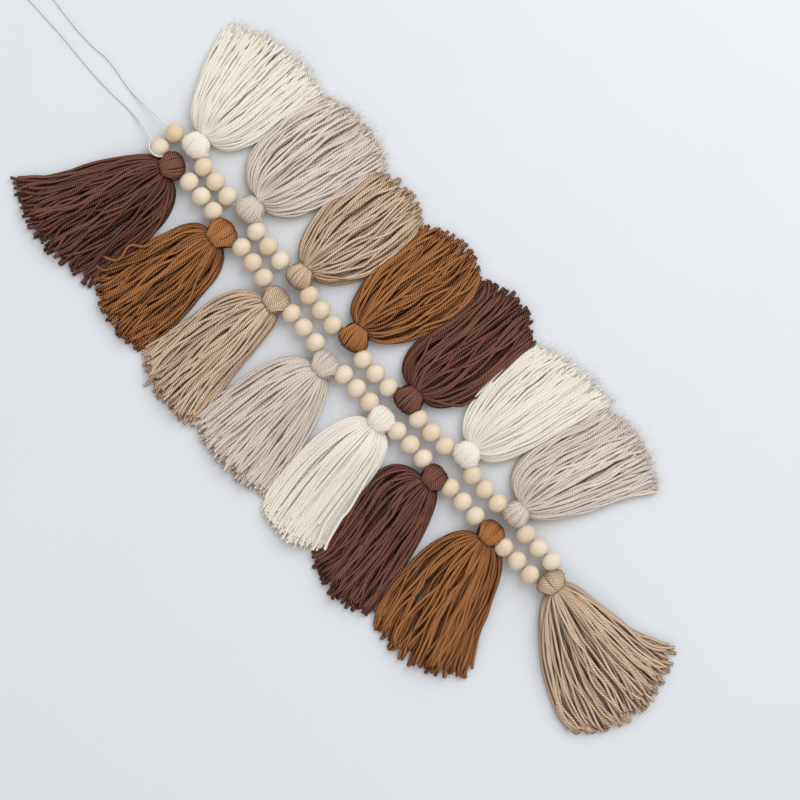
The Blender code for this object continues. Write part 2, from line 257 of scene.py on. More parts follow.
def make_strand_tree():
    tree, sizes = new_tree("strands along guides", {
        "Guides": "Geometry", "Sides": "Int", "Plies": "Float", "Twist Pitch": "Float",
        "Groove Depth": "Float", "Finish": "Material"}, "Strands")
    curves = add_node(tree, "GeometryNodeMeshToCurve", {"Mesh": sizes["Guides"]})
    length = add_node(tree, "GeometryNodeSplineParameter")
    measured = add_node(
        tree, "GeometryNodeStoreNamedAttribute",
        {"Geometry": curves.outputs["Curve"], "Name": "along", "Value": length.outputs["Length"]},
        data_type="FLOAT")

    ring = add_node(tree, "GeometryNodeCurvePrimitiveCircle", {"Resolution": sizes["Sides"], "Radius": 1.0})
    facing = add_node(
        tree, "GeometryNodeStoreNamedAttribute",
        {"Geometry": ring.outputs["Curve"], "Name": "around",
         "Value": add_node(tree, "GeometryNodeInputPosition").outputs["Position"]}, data_type="FLOAT_VECTOR")

    radius = add_node(tree, "GeometryNodeInputNamedAttribute", {"Name": "radius"}, data_type="FLOAT")
    tube = add_node(
        tree, "GeometryNodeCurveToMesh",
        {"Curve": measured.outputs["Geometry"], "Profile Curve": facing.outputs["Geometry"],
         "Scale": radius.outputs["Attribute"], "Fill Caps": True})

    around = add_node(tree, "GeometryNodeInputNamedAttribute", {"Name": "around"}, data_type="FLOAT_VECTOR")
    along = add_node(tree, "GeometryNodeInputNamedAttribute", {"Name": "along"}, data_type="FLOAT")
    wave = ply_wave(
        tree, around.outputs["Attribute"], along.outputs["Attribute"], sizes["Twist Pitch"], sizes["Plies"])
    dip = add_node(tree, "ShaderNodeMath", {0: wave, 1: -1.0, 2: 1.0}, operation="MULTIPLY_ADD")
    depth = add_node(
        tree, "ShaderNodeMath", {0: dip.outputs[0], 1: sizes["Groove Depth"]}, operation="MULTIPLY")
    inwards = add_node(tree, "ShaderNodeMath", {0: depth.outputs[0], 1: -0.5}, operation="MULTIPLY")
    normal = add_node(tree, "GeometryNodeInputNormal")
    offset = add_node(
        tree, "ShaderNodeVectorMath", {0: normal.outputs["Normal"], "Scale": inwards.outputs[0]},
        operation="SCALE")
    grooved = add_node(
        tree, "GeometryNodeSetPosition",
        {"Geometry": tube.outputs["Mesh"], "Offset": offset.outputs["Vector"]})

    # The material reads this later for painted shade: how much each point faces up.
    facing_up = add_node(tree, "ShaderNodeSeparateXYZ", {"Vector": normal.outputs["Normal"]})
    topped = add_node(
        tree, "GeometryNodeStoreNamedAttribute",
        {"Geometry": grooved.outputs["Geometry"], "Name": "upward", "Value": facing_up.outputs["Z"]},
        data_type="FLOAT")
    smooth = add_node(tree, "GeometryNodeSetShadeSmooth", {"Geometry": topped.outputs["Geometry"]})
    return end_tree(tree, smooth.outputs["Geometry"], sizes["Finish"])


strand_tree = make_strand_tree()
print("strand tree has", len(strand_tree.nodes), "nodes")

# %% [markdown]
# A modifier's inputs are set by their identifiers, before the object is evaluated. Then the result is
# copied into a plain mesh, and the modifier and its guides go.

# %% From guides to a plain mesh
STRING_PLIES = 3.0
STRING_TWIST = 0.0045


def plain_mesh_of(name, base_mesh, tree, values):
    """Runs a geometry node tree on a mesh and keeps only the plain mesh that comes out."""
    grower = new_object(name + "_grower", base_mesh)
    modifier = grower.modifiers.new("grow", "NODES")
    modifier.node_group = tree
    for socket in tree.interface.items_tree:
        if socket.in_out == "INPUT" and socket.name in values:
            modifier[socket.identifier] = values[socket.name]
    evaluated = grower.evaluated_get(bpy.context.evaluated_depsgraph_get())
    mesh = bpy.data.meshes.new_from_object(evaluated)
    mesh.name = name
    bpy.data.objects.remove(grower, do_unlink=True)
    bpy.data.meshes.remove(base_mesh)
    return new_object(name, mesh)


def guide_mesh(strands):
    """A mesh of bare edges. strands are (points, radii, tone), one for each chain."""
    points = np.concatenate([strand[0] for strand in strands])
    radii = np.concatenate([np.broadcast_to(strand[1], len(strand[0])) for strand in strands])
    tones = np.concatenate([np.full(len(strand[0]), strand[2]) for strand in strands])
    starts = np.cumsum([0] + [len(strand[0]) for strand in strands])
    edges = [(at, at + 1) for start, end in zip(starts, starts[1:]) for at in range(start, end - 1)]
    mesh = bpy.data.meshes.new("guides")
    mesh.from_pydata(points.tolist(), edges, [])
    for name, values in (("radius", radii), ("tone", tones)):
        mesh.attributes.new(name, "FLOAT", "POINT").data.foreach_set("value", values.astype(np.float32))
    return mesh


def grow_strands(name, strands, finish, sides, groove=0.0):
    return plain_mesh_of(name, guide_mesh(strands), strand_tree, {
        "Sides": sides, "Plies": STRING_PLIES, "Twist Pitch": STRING_TWIST, "Groove Depth": groove,
        "Finish": finish})


def triangles(piece):
    piece.data.calc_loop_triangles()
    return len(piece.data.loop_triangles)


# %% [markdown]
# ## Finishes of yarn and string
# The yarn is bulky wool-like yarn of several plies, so its surface is a row of slanting ridges with dark
# lines between them, and it is dull and a little fuzzy. The material reads the stored facts: the
# angle round the strand plus the way along it gives a ridge that winds round, and fine noise stretched
# along the strand gives its fibres. Sheen stands for the haze of loose fibres that lights up at the
# strand's edge. Each strand has its own tone, so neighbours differ a little, as dyed yarn does. The dark
# yarns have a wider spread between their two colours than the pale ones, so their tones differ more and
# their painted shade is deeper. A ply turns once in 4.8 mm, so three plies show a ridge every
# 1.6 mm. The noise gives about ten fibres round a strand, each 2.6 mm long. The string is the same kind
# of thing, of white cotton, with a turn every 4.5 mm and almost no fuzz. Loose fibres are too fine for
# plies: they are one colour, and look soft and pale.
#
# A point's colour is a sum: ridge or groove, fibre, the strand's own tone, and whether it faces up. The
# groove's darkness and the darker flanks are painted shade: light reaches the tops of strands and little
# of it gets down between them and between the plies, and that is painted into the colour. The sum is then
# spread from the dark colour to the light one.

# %% Yarn finish
# Weights of the colour sum. The ridge weight also sets the bump. The grooves' and flanks' dark is painted
# shade; the tone and the fibres are the yarn's own.
RIDGE_SHADE = 1.3
PAINTED_FLANK_SHADE = 1.3
TONE_SHADE = 0.7
FIBRE_SHADE = 0.4
FIBRE_RELIEF = 0.5
SHADE_MIDDLE = 2.225
SHADE_RANGE = 2.55
FIBRE_STRETCH = 240.0
FIBRE_SCALE = 1.6
OWN_START = 40.0
OWN_FIBRES = 90.0
FIBRE_CHANGES_PER_METRE = 900.0


def make_yarn_finish(name, light, dark, plies, pitch, ridge, sheen, contrast=1.0):
    """Plied yarn. light is on ridges and tops; dark is in grooves and on flanks, as painted shade."""
    half_range = SHADE_RANGE / 2 / contrast
    material, tree, shader = new_finish(name)
    around = add_node(tree, "ShaderNodeAttribute", attribute_name="around")
    along = add_node(tree, "ShaderNodeAttribute", attribute_name="along")
    tone = add_node(tree, "ShaderNodeAttribute", attribute_name="tone")
    start = add_node(tree, "ShaderNodeMath", {0: tone.outputs["Fac"], 1: OWN_START}, operation="MULTIPLY")
    wave = ply_wave(
        tree, around.outputs["Vector"], along.outputs["Fac"], pitch, plies, start.outputs[0])
    # The colour is darker in the grooves between plies: painted shade. The same ridges make the bump.
    ridges = add_node(
        tree, "ShaderNodeMapRange", {"Value": wave, "From Min": -0.9, "From Max": 0.9, "To Max": RIDGE_SHADE},
        interpolation_type="SMOOTHSTEP")

    parts = add_node(tree, "ShaderNodeSeparateXYZ", {0: around.outputs["Vector"]})
    stretched = add_node(
        tree, "ShaderNodeMath", {0: along.outputs["Fac"], 1: FIBRE_STRETCH}, operation="MULTIPLY")
    fibre_place = add_node(
        tree, "ShaderNodeCombineXYZ",
        {"X": parts.outputs["X"], "Y": parts.outputs["Y"], "Z": stretched.outputs[0]})
    shift = add_node(
        tree, "ShaderNodeVectorMath", {0: tone.outputs["Vector"], "Scale": OWN_FIBRES}, operation="SCALE")
    moved = add_node(
        tree, "ShaderNodeVectorMath", {0: fibre_place.outputs["Vector"], 1: shift.outputs["Vector"]},
        operation="ADD")
    fibres = add_node(
        tree, "ShaderNodeTexNoise",
        {"Vector": moved.outputs["Vector"], "Scale": FIBRE_SCALE, "Detail": 3.0, "Roughness": 0.65})

    # Painted shade: a strand is coloured darker where it faces sideways or down than on its top.
    upward = add_node(tree, "ShaderNodeAttribute", attribute_name="upward")
    top = add_node(
        tree, "ShaderNodeMapRange", {"Value": upward.outputs["Fac"], "From Min": 0.25, "From Max": 0.95},
        interpolation_type="SMOOTHSTEP")
    shade = ridges.outputs["Result"]
    for part, weight in (
            (fibres.outputs["Fac"], FIBRE_SHADE), (top.outputs["Result"], PAINTED_FLANK_SHADE),
            (tone.outputs["Fac"], TONE_SHADE)):
        added = add_node(tree, "ShaderNodeMath", {0: part, 1: weight, 2: shade}, operation="MULTIPLY_ADD")
        shade = added.outputs[0]
    share = add_node(
        tree, "ShaderNodeMapRange",
        {"Value": shade, "From Min": SHADE_MIDDLE - half_range, "From Max": SHADE_MIDDLE + half_range})
    colour = add_node(
        tree, "ShaderNodeMix", {0: share.outputs["Result"], 6: linear(dark), 7: linear(light)},
        data_type="RGBA")
    relief = add_node(
        tree, "ShaderNodeMath", {0: fibres.outputs["Fac"], 1: FIBRE_RELIEF, 2: ridges.outputs["Result"]},
        operation="MULTIPLY_ADD")
    bump = add_node(
        tree, "ShaderNodeBump", {"Strength": 1.0, "Distance": ridge, "Height": relief.outputs[0]})
    tree.links.new(colour.outputs[2], shader.inputs["Base Color"])
    tree.links.new(bump.outputs["Normal"], shader.inputs["Normal"])
    shader.inputs["Roughness"].default_value = 0.9
    shader.inputs["Specular IOR Level"].default_value = 0.1
    shader.inputs["Sheen Weight"].default_value = sheen
    shader.inputs["Sheen Roughness"].default_value = 0.5
    shader.inputs["Sheen Tint"].default_value = linear(light)
    return material


def make_fibre_finish(name, colour):
    """Loose fibres, too fine for plies: one colour with a little change along each fibre."""
    material, tree, shader = new_finish(name)
    along = add_node(tree, "ShaderNodeAttribute", attribute_name="along")
    change = add_node(
        tree, "ShaderNodeTexNoise", {"W": along.outputs["Fac"], "Scale": FIBRE_CHANGES_PER_METRE},
        noise_dimensions="1D")
    pale = linear(colour)
    deeper = (*[channel * 0.8 for channel in pale[:3]], 1.0)
    tint = add_node(
        tree, "ShaderNodeMix", {0: change.outputs["Fac"], 6: pale, 7: deeper}, data_type="RGBA")
    tree.links.new(tint.outputs[2], shader.inputs["Base Color"])
    shader.inputs["Roughness"].default_value = 0.9
    shader.inputs["Specular IOR Level"].default_value = 0.2
    shader.inputs["Sheen Weight"].default_value = 0.5
    return material


# A yarn's light colour shows on ridges and tops, its dark one in grooves and on flanks as painted shade, and
# both in the strands' own tones. contrast spreads the whole sum wider, painted shade included.
Yarn = namedtuple("Yarn", "light dark width ridge across wander head_tone sheen contrast")
YARNS = {
    "cream": Yarn("#EFECE7", "#F1E5D4", 0.0024, 0.0003, 37, 0.35, 0.0, 0.4, 1.0),
    "taupe": Yarn("#FBF2EA", "#B5A18F", 0.0025, 0.0004, 31, 0.5, -0.3, 0.3, 1.0),
    "tan": Yarn("#FFE5C8", "#7A5533", 0.0025, 0.0005, 25, 0.85, 0.1, 0.2, 1.0),
    "rust": Yarn("#CD8B57", "#330600", 0.0027, 0.0006, 23, 1.0, 0.5, 0.1, 1.35),
    "brown": Yarn("#986656", "#1C0502", 0.0027, 0.0006, 23, 1.0, 0.55, 0.1, 1.25),
}
YARN_PLIES = 3.0
YARN_TWIST = 0.0048
STRING_RIDGE = 0.0001
STRING_GROOVE = 0.00016
STRING_TONE = 0.5

yarn_finishes = {
    name: make_yarn_finish(
        "plied " + name + " yarn", yarn.light, yarn.dark, YARN_PLIES, YARN_TWIST, yarn.ridge, yarn.sheen,
        yarn.contrast)
    for name, yarn in YARNS.items()}
fibre_finishes = {
    name: make_fibre_finish("loose " + name + " fibres", yarn.light) for name, yarn in YARNS.items()}
# The string's darker colour in its grooves and on its flanks is painted shade, as on the yarn.
string_finish = make_yarn_finish(
    "twisted white cotton", "#F3F4F6", "#BEC1C6", STRING_PLIES, STRING_TWIST, STRING_RIDGE, 0.2)
print("finishes:", ", ".join(material.name for material in yarn_finishes.values()))

# %% [markdown]
# ## The string
# The string comes first, because its free ends have a real length, which is printed. It is limp cotton, 1.5
# mm thick. Each loose end leaves the top bead of its row, drops to the table and runs off past the edge
# of the view. The route's points are the imported model's own, joined by the same smooth curve.

# %% Routes of the loose ends
STRING_DIAMETER = 0.0015
BEAD_DIAMETER = 0.0160
BEAD_FACETS = 10
STRING_HEIGHT = BEAD_DIAMETER / 2 * math.cos(math.pi / BEAD_FACETS)
TAIL_ROUTE = {
    "right": (
        (168.6, 127.3), (151, 110), (130, 89), (110, 61), (90, 43), (70, 20), (55, 0), (36, -24), (19, -48)),
    "left": (
        (153.8, 142), (146, 129), (130, 110), (110, 91), (90, 69), (66, 40), (50, 22), (30, 0), (-9, -42)),
}
TAIL_POINTS = 281
TAIL_SIDES = 12


def smooth_route(points, count):
    """Points read evenly from a smooth curve through the given ones."""
    points = np.asarray(points, float)
    ends = np.concatenate([[points[0] * 2 - points[1]], points, [points[-1] * 2 - points[-2]]])
    places = np.linspace(0, len(points) - 1, count)
    first = np.minimum(places.astype(int), len(points) - 2)
    t = (places - first)[:, None]
    a, b, c, d = (ends[first + shift] for shift in range(4))
    return (b * 2 + (c - a) * t + (a * 2 - b * 5 + c * 4 - d) * t**2 + (b * 3 - a - c * 3 + d) * t**3) / 2


def route_length(points):
    return float(np.linalg.norm(np.diff(points, axis=0), axis=1).sum())


def tail_points(row):
    """One loose end, from the mouth of the top bead's bore down to the table and along it."""
    heights = np.full(len(TAIL_ROUTE[row]), STRING_DIAMETER / 2)
    heights[:2] = STRING_HEIGHT, (STRING_HEIGHT + STRING_DIAMETER) / 2
    points = smooth_route(on_table(TAIL_ROUTE[row], heights), TAIL_POINTS)
    points[:, 2] = np.maximum(points[:, 2], STRING_DIAMETER / 2)
    return points


string_pieces = []
for row in TAIL_ROUTE:
    points = tail_points(row)
    tail = grow_strands(
        "string_tail_" + row, [(points, STRING_DIAMETER / 2, STRING_TONE)], string_finish, TAIL_SIDES,
        STRING_GROOVE)
    string_pieces.append(tail)
    print(tail.name, "is", round(route_length(points), 4), "m long, with", triangles(tail), "triangles")

# %% [markdown]
# ## The tassels' table
# Each tassel is described by a few places: where the string crosses it, the middle of its head, its neck,
# and the two end corners of its skirt. Two numbers for each edge say how the skirt swells: how far it
# sweeps sideways from the neck, and how full it still is ahead of its corner. The last number is how far
# the cut end bows out. The second line of a row holds the skirt's two edges, each a corner and its two
# numbers, and then the bow.

# %% Where each tassel lies
Tassel = namedtuple("Tassel", "name yarn bore head neck near near_swell near_hip far far_swell far_hip bow")
TASSELS = (
    Tassel("right_1", "cream", (190, 150.5), (197.8, 146.2), (206.5, 135.5),
           (226, 26), 33, -7, (322, 98), 52, -14, 16),
    Tassel("right_2", "taupe", (243, 215), (251.6, 210.4), (261.5, 199.7),
           (327, 97), 61, 13, (386, 167), 46, -2, 9),
    Tassel("right_3", "tan", (295.5, 278.5), (301, 276.6), (309, 267),
           (372, 170), 30, 15, (422, 231), 46, 10, 14),
    Tassel("right_4", "rust", (347.5, 342.5), (355.4, 337.2), (362.5, 326.5),
           (427, 227), 40, 3, (481, 281), 45, 22, 12),
    Tassel("right_5", "brown", (404, 404), (409.8, 398.8), (418, 390.5),
           (483, 279), 62, -25, (534, 346), 53, 2, 14),
    Tassel("right_6", "cream", (458.5, 460), (467, 453.8), (474.4, 446.5),
           (533, 345), 42, 4, (610, 404), 43, -7, 7),
    Tassel("right_7", "taupe", (510.5, 517.5), (516, 513.3), (524, 505.5),
           (600, 405), 73, -16, (655, 490), 31, -11, 12),
    Tassel("left_1", "brown", (175.8, 165.8), (172.4, 167.8), (163, 170),
           (14, 180), 37, -25, (92, 286), 67, -15, 13),
    Tassel("left_2", "rust", (228.5, 229.5), (221.4, 235.6), (213.5, 241.5),
           (98, 268), 52, -20, (141, 350), 37, 1, 13),
    Tassel("left_3", "tan", (278, 297), (275.8, 301.2), (268, 307),
           (143, 352), 50, -5, (202, 430), 31, -32, 12),
    Tassel("left_4", "taupe", (329.6, 359.5), (324.6, 365.3), (317, 372.5),
           (195, 416), 47, -2, (268, 496), 29, -7, 12),
    Tassel("left_5", "cream", (384, 417), (380.6, 420), (373, 427),
           (262, 505), 40, 12, (327, 549), 47, -20, 13),
    Tassel("left_6", "brown", (436, 472), (433.2, 478), (426, 483.5),
           (312, 552), 81, -22, (372, 614), 27, -2, 13),
    Tassel("left_7", "rust", (488, 530.5), (489.6, 533.2), (482.5, 540.5),
           (374, 624), 49, 12, (470, 674), 45, -22, 16),
    Tassel("end", "tan", (551.5, 580.5), (551, 582), (556.5, 589.5),
           (573, 732), 31, 14, (673, 648), 28, -36, 24),
)
print(len(TASSELS), "tassels")

# %% [markdown]
# ## The skirt's flow
# All strands of a skirt flow from the neck to the cut end, side by side. A strand is named by its side,
# from -1 at one edge to 1 at the other, and by its level, from 0 on the table to 1 on top. The flow is a
# sheet of cubic curves between the two edges, and the height follows the bell shape: thin at the neck,
# full a third of the way down, and flatter at the end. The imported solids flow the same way, between
# corners a few millimetres off these, so the yarn lies where they are.

# %% Flow of a skirt
SHOULDER_BACK = 8
HIP_BACK = 35
ROOT_DEPTH = 0.0020
ROOT_WIDTH = 5
NECK_HEIGHT = 0.0085
BULGE_HEIGHT = 0.0185
END_HEIGHT = 0.0108
BULGE_STATION = 0.3
EDGE_FALL = 0.75
HEAD_HEIGHT = 0.0172


def unit(vector):
    return vector / np.linalg.norm(vector)


def skirt_flow(tassel):
    """A function from arrays of sides and ways along, 0 to 1, to places in the plane of the table."""
    neck, near, far = (on_table(place)[:2] for place in (tassel.neck, tassel.near, tassel.far))
    tip = (near + far) / 2
    axis = unit(tip - neck)
    root = neck - axis * ROOT_DEPTH
    length = np.linalg.norm(tip - root)
    bow = axis * tassel.bow * STEP
    middle = (root, root + axis * length / 3, root + axis * length * 2 / 3, tip + bow)

    def edge(corner, swell, hip):
        side = corner - tip
        side = unit(side - axis * side.dot(axis))
        return (
            root + side * ROOT_WIDTH * STEP,
            neck + (side * swell - axis * SHOULDER_BACK) * STEP,
            corner + (side * hip - axis * HIP_BACK) * STEP,
            corner,
        )

    near_edge = edge(near, tassel.near_swell, tassel.near_hip)
    far_edge = edge(far, tassel.far_swell, tassel.far_hip)

    def flow(side, t):
        shares = ((1 - t)**3, 3 * (1 - t)**2 * t, 3 * (1 - t) * t**2, t**3)
        reach = np.abs(side)[..., None]
        at_near = (side >= 0)[..., None]
        spot = 0
        for share, inner, outer_near, outer_far in zip(shares, middle, near_edge, far_edge):
            outer = np.where(at_near, outer_near, outer_far)
            spot = spot + share[..., None] * (inner * (1 - reach) + outer * reach)
        return spot + shares[3][..., None] * bow * (reach - reach**2)

    return flow


def skirt_height(side, level, t, radius):
    """Height of a strand's middle over the table."""
    rise = np.sin(np.minimum(t / BULGE_STATION, 1) * math.pi / 2)
    fall = np.clip((t - BULGE_STATION) / (1 - BULGE_STATION), 0, 1)
    fall = fall**2 * (3 - 2 * fall)
    thick = NECK_HEIGHT + (BULGE_HEIGHT - NECK_HEIGHT) * rise + (END_HEIGHT - BULGE_HEIGHT) * fall
    under = (HEAD_HEIGHT - NECK_HEIGHT) / 2 * (1 - np.sin(np.minimum(2 * t / BULGE_STATION, 1) * math.pi / 2))
    room = thick * np.sqrt(1 - EDGE_FALL * np.minimum(side**2, 1)) - 2 * radius
    return under + radius + level * np.maximum(room, 0)


fullest = skirt_height(np.zeros(1), 1.0, np.full(1, BULGE_STATION), 0.0)
print("a skirt is at most", round(fullest[0] * 1000, 1), "mm high")

# %% [markdown]
# ## Strands of a skirt
# Yarn never lies in perfect rows. The strands start in four layers, evenly across, and then each wanders
# a little to the side and up and down, leans towards a neighbour so that pairs and clumps form with dark
# gaps between them, and is cut a little longer or shorter than the rest. A few strays lie slantwise over
# the top. The pale yarns are calmer, and their lower layers are lifted a little, so no deep dark gap
# opens in them. Four tassels have soft, frayed ends, and their strands are more crimped. All of it comes
# from one seeded generator for each tassel, so every run gives the same garland.
#
# A wave is given as its smallest and largest size, and its fewest and most turns from the neck to the
# end. A size is a share of the skirt's half width for a wave to the side, and a share of its height for
# one up and down.

# %% Strands of a skirt
STRAND_POINTS = 28
STRAND_SIDES = 6
LAYERS = ((0.90, 0.13, 1.45), (0.60, 0.07, 1.1), (0.34, 0.06, 1.0), (0.05, 0.05, 1.25))
CALM_LIFT = 1.4
LOCKS = 9
STRAYS = 10
STRAY_LEVEL = 1.05
STRAY_SLANT = (0.12, 0.34)
SIDE_SWAY = (0.035, 0.105, 0.6, 1.8)
SIDE_CRIMP = (0.006, 0.024, 2.5, 4.5)
LEVEL_SWAY = (0.02, 0.07, 0.5, 1.5)
LEVEL_CRIMP = (0.01, 0.03, 2.5, 4.5)
LOCK_GATHER = (0.2, 0.8)
LOCK_CROWN = 0.07
END_CURL = 0.045
WIDTH_CHANGE = 0.07
EVEN_STEP = 0.618
NECK_SQUEEZE = 0.55
NECK_REACH = 0.16
CUT_LENGTH = 1.015
CUT_SPREAD = 0.020
TOP_CUT = 0.055
CUT_LIMIT = 1.03
SHORT_SHARE = 0.14
SHORTER_BY = (0.03, 0.12)
SOFT_ENDS = ("right_1", "right_2", "right_6", "right_7")
SOFT_CRIMP = 2.1


def strand_paths(tassel, chance):
    """The skirt's strands, each as points, radii and tone."""
    yarn = YARNS[tassel.yarn]
    flow = skirt_flow(tassel)
    sides, levels = [], []
    lift = CALM_LIFT * (1 - yarn.wander) ** 2
    for level, spread, share in LAYERS:
        level = level + (LAYERS[0][0] - level) * level * lift
        count = round(yarn.across * share)
        order = np.arange(count) * EVEN_STEP % 1 * 2 - 1
        sides.append(np.linspace(-0.97, 0.97, count) + chance.normal(0, 0.35 / count, count))
        levels.append(level + order * spread * (0.4 + 0.6 * yarn.wander))
    sides = np.concatenate(sides + [chance.uniform(-0.75, 0.75, STRAYS)])[:, None]
    levels = np.concatenate(levels + [np.full(STRAYS, STRAY_LEVEL)])[:, None]
    count = len(sides)

    cut = CUT_LENGTH - TOP_CUT * levels**1.5 + chance.normal(0, CUT_SPREAD, (count, 1))
    cut = np.minimum(cut, CUT_LIMIT)
    short = chance.random((count, 1)) < SHORT_SHARE
    cut = cut - short * chance.uniform(*SHORTER_BY, (count, 1))
    t = np.linspace(0, 1, STRAND_POINTS)[None, :] ** 1.15 * cut

    def waves(low, high, slow, fast):
        turns = chance.uniform(slow, fast, (count, 1)) * t + chance.random((count, 1))
        return chance.uniform(low, high, (count, 1)) * np.sin(math.tau * turns)

    loose = (0.25 + 0.75 * levels) * yarn.wander
    lean = chance.normal(0, 0.04, (count, 1))
    lean[-STRAYS:] += chance.choice([-1, 1], (STRAYS, 1)) * chance.uniform(*STRAY_SLANT, (STRAYS, 1))
    locks = np.linspace(-0.92, 0.92, LOCKS) + chance.normal(0, 0.05, LOCKS)
    nearest = locks[np.abs(sides - locks).argmin(axis=1)][:, None]
    swell = np.sin(math.pi * np.minimum(t, 1))
    gather = (nearest - sides) * chance.uniform(*LOCK_GATHER, (count, 1)) * levels * yarn.wander * swell
    crown = LOCK_CROWN * (1 - np.abs(nearest - sides) * LOCKS) * swell
    crimp = SOFT_CRIMP if tassel.name in SOFT_ENDS else 1.0
    wander = lean + waves(*SIDE_SWAY) + waves(*SIDE_CRIMP) * crimp
    curl = chance.normal(0, END_CURL, (count, 1)) * np.clip(t * 5 - 4, 0, 1.2) ** 2
    side = sides + wander * loose * np.minimum(t * 2, 1) + curl + gather
    level = levels + crown + waves(*LEVEL_SWAY) + waves(*LEVEL_CRIMP)

    radius = yarn.width / 2 * chance.normal(1, WIDTH_CHANGE, (count, 1))
    radii = radius * (NECK_SQUEEZE + (1 - NECK_SQUEEZE) * np.minimum(t / NECK_REACH, 1) ** 0.7)
    places = flow(np.clip(side, -1.03, 1.03), t)
    heights = skirt_height(side, np.clip(level, 0, 1.08), t, radii)
    points = np.concatenate([places, heights[..., None]], axis=-1)
    tones = chance.random(count)
    return [(points[at], radii[at], tones[at]) for at in range(count)]


trial = strand_paths(TASSELS[0], np.random.default_rng(100))
print(TASSELS[0].name, "has", len(trial), "strands in its skirt")

# %% [markdown]
# A few strands don't follow their skirt. They lie out of it in a loop or a hook, or slip away to its
# side, and eyes find them at once. So they are listed one by one, as places in the layout with a height in
# millimetres. The two in the right row's brown tassel lie low instead, and close a slit between its
# strands.

# %% Strands listed one by one
LOOSE_STRANDS = {
    "right_5": (
        ((462, 388, 5.5), (474, 377, 4.2), (484, 368.3, 3.0), (496, 357.6, 2.4), (507, 347.4, 2.0),
         (517, 338, 1.8)),
        ((464, 390, 4.0), (475, 379.6, 3.0), (486, 369.4, 1.9), (497, 359.6, 1.5), (508, 349.6, 1.4),
         (519, 339, 1.4)),
    ),
    "left_2": (
        ((173, 232, 10), (163, 238.5, 10), (156, 242.5, 10), (149, 247, 10), (142, 247.6, 11),
         (134.5, 246.2, 12), (129.5, 249, 13), (126.6, 254, 13), (122.5, 260, 12.5), (116, 261.5, 12),
         (106.7, 258.1, 12)),
        ((168, 247, 14), (155, 254.5, 14), (141, 261.6, 13.5), (126, 266, 13), (113, 270, 12.5),
         (106, 271.4, 12.5), (101.8, 269.3, 12), (99.6, 266.8, 11.5)),
    ),
    "left_3": (((176, 366, 6), (163, 373, 5), (154, 379.5, 3.5), (149, 383, 2.5), (144.5, 386, 1.5)),),
    "left_5": (
        ((372, 470, 13), (361, 489, 13), (350, 508, 13), (342.4, 517, 13), (335.6, 528, 13),
         (329.6, 538.5, 12.5), (325.2, 548.5, 12)),
        ((355, 483, 14), (338, 505, 14), (326, 523, 13), (320, 537, 12.5), (316.5, 543.5, 12),
         (313.2, 548.5, 11.5)),
    ),
}


def loose_paths(tassel, chance):
    """Strands that leave their skirt, by their own places and heights in millimetres."""
    radius = YARNS[tassel.yarn].width / 2
    paths = []
    for route in LOOSE_STRANDS.get(tassel.name, ()):
        route = np.array(route, float)
        points = smooth_route(on_table(route[:, :2], route[:, 2] / 1000), STRAND_POINTS)
        paths.append((points, radius, chance.random()))
    return paths


print(sum(len(routes) for routes in LOOSE_STRANDS.values()), "strands placed by hand")

# %% [markdown]
# Where yarn is cut, its plies come untwisted and the fibres run on a little. On the four soft tassels
# they make a haze up to 6.5 mm long, and on the others a short fuzz. A real fibre is far too fine to show
# in a view this wide, so each one drawn stands for several and is 0.26 mm thick.

# %% Fibres at the cut ends
SOFT_FIBRES = 4
SOFT_REACH = (0.001, 0.0065)
BLUNT_FIBRES = 2
BLUNT_REACH = (0.0002, 0.0012)
FIBRE_RADIUS = 0.00013
FIBRE_TAPER = (1, 1, 0.9, 0.5)
FIBRE_ROOT = 0.002
FIBRE_TONE = 1.2


def end_fibres(tassel, strands, chance):
    """The yarn's cut ends come untwisted: a few fine fibres run on from each."""
    soft = tassel.name in SOFT_ENDS
    fibres = []
    for points, radii, _ in strands:
        ahead = unit(points[-1] - points[-2])
        for _ in range(SOFT_FIBRES if soft else BLUNT_FIBRES):
            reach = chance.uniform(*(SOFT_REACH if soft else BLUNT_REACH))
            spread = chance.normal(0, 0.35, 3)
            start = points[-1] + chance.normal(0, 0.45, 3) * np.min(radii) - ahead * FIBRE_ROOT
            way = np.linspace(0, 1, len(FIBRE_TAPER))[:, None]
            path = start + way * (FIBRE_ROOT + reach) * ahead + way**2 * reach * spread
            path[:, 2] = np.maximum(path[:, 2], FIBRE_RADIUS * 2)
            fibres.append((path, FIBRE_RADIUS * np.array(FIBRE_TAPER), FIBRE_TONE))
    return fibres


print(SOFT_FIBRES, "fibres on each strand of", ", ".join(SOFT_ENDS), "and", BLUNT_FIBRES, "elsewhere")

# %% [markdown]
# ## Heads
# A head is the fold of the yarn over the string. Every yarn there is a loop that lies in a plane across
# the string: up from the neck, over the string, and back underneath. The loops stand side by side, and
# draw together only at the neck, so the ball has ribs that run towards the neck. Three fat guides inside
# fill the ball, so that no light comes through between two ribs. Each row has its usual head, and a few
# tassels have a bigger one.

# %% Loops of a head
HEAD_LENGTH = {"right": 0.0222, "left": 0.0226, "end": 0.0200}
HEAD_WIDTH = {"right": 0.0242, "left": 0.0238, "end": 0.0262}
BIG_HEADS = {
    "right_2": 1.07, "right_4": 1.11, "right_5": 1.11,
    "left_1": 1.04, "left_2": 1.14, "left_3": 1.04, "left_4": 1.05,
}
HEAD_FULLNESS = 2.4
LOOP_POINTS = 23
LOOP_ENDS = math.radians(33)
LOOP_DRAW = 0.35
LOOP_WIDTH = 0.52
CORE_POINTS = 9
CORE_SIDES = (-0.42, 0.0, 0.42)


def girth(share):
    """How far a full ball still reaches at a share of its half width."""
    return np.maximum(1 - np.abs(share) ** HEAD_FULLNESS, 0) ** (1 / HEAD_FULLNESS)


